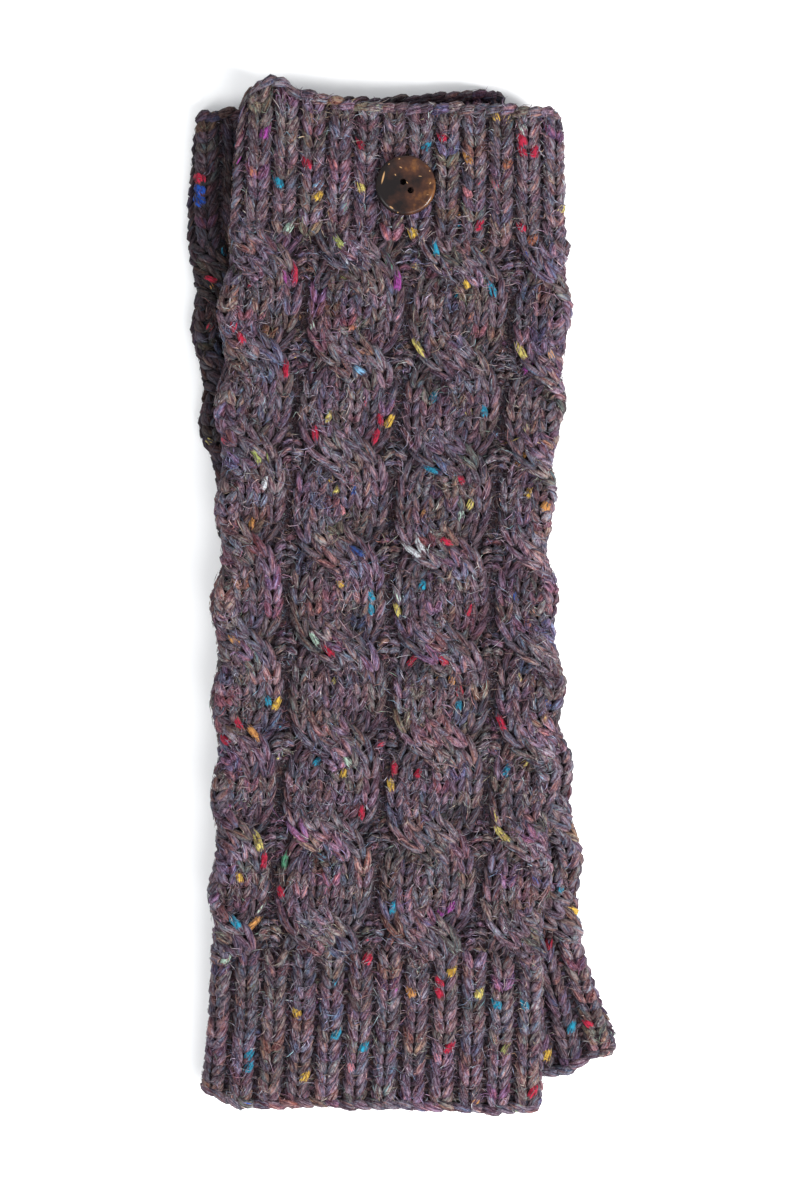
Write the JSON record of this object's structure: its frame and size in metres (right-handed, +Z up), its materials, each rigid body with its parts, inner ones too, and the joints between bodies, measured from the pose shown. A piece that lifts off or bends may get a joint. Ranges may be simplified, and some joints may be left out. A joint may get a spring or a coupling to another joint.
{
  "type": "pair of leg warmers",
  "caption": "Two flat-laid cable-knit wool leg warmers, one lying aslant on the other, with ribbed cuffs and a round two-hole button.",
  "frame": {"origin": "middle of the pair's footprint, on the surface that it lies on", "axes": "+Y along the warmers towards their top cuffs, +X to the right seen from above, +Z up from the surface"},
  "size_m": [0.1784, 0.4243, 0.0284],
  "materials": {
    "tweed_wool": "matt, hairy mauve-grey tweed wool with small coloured flecks",
    "coconut_shell": "polished dark brown coconut shell with pale flecks"
  },
  "bodies": {
    "root": {"under_top_cuff": "tweed_wool", "under_leg": "tweed_wool", "under_bottom_cuff": "tweed_wool", "upper_top_cuff": "tweed_wool", "upper_leg": "tweed_wool", "upper_bottom_cuff": "tweed_wool", "upper_button": "coconut_shell"}
  },
  "joints": []
}
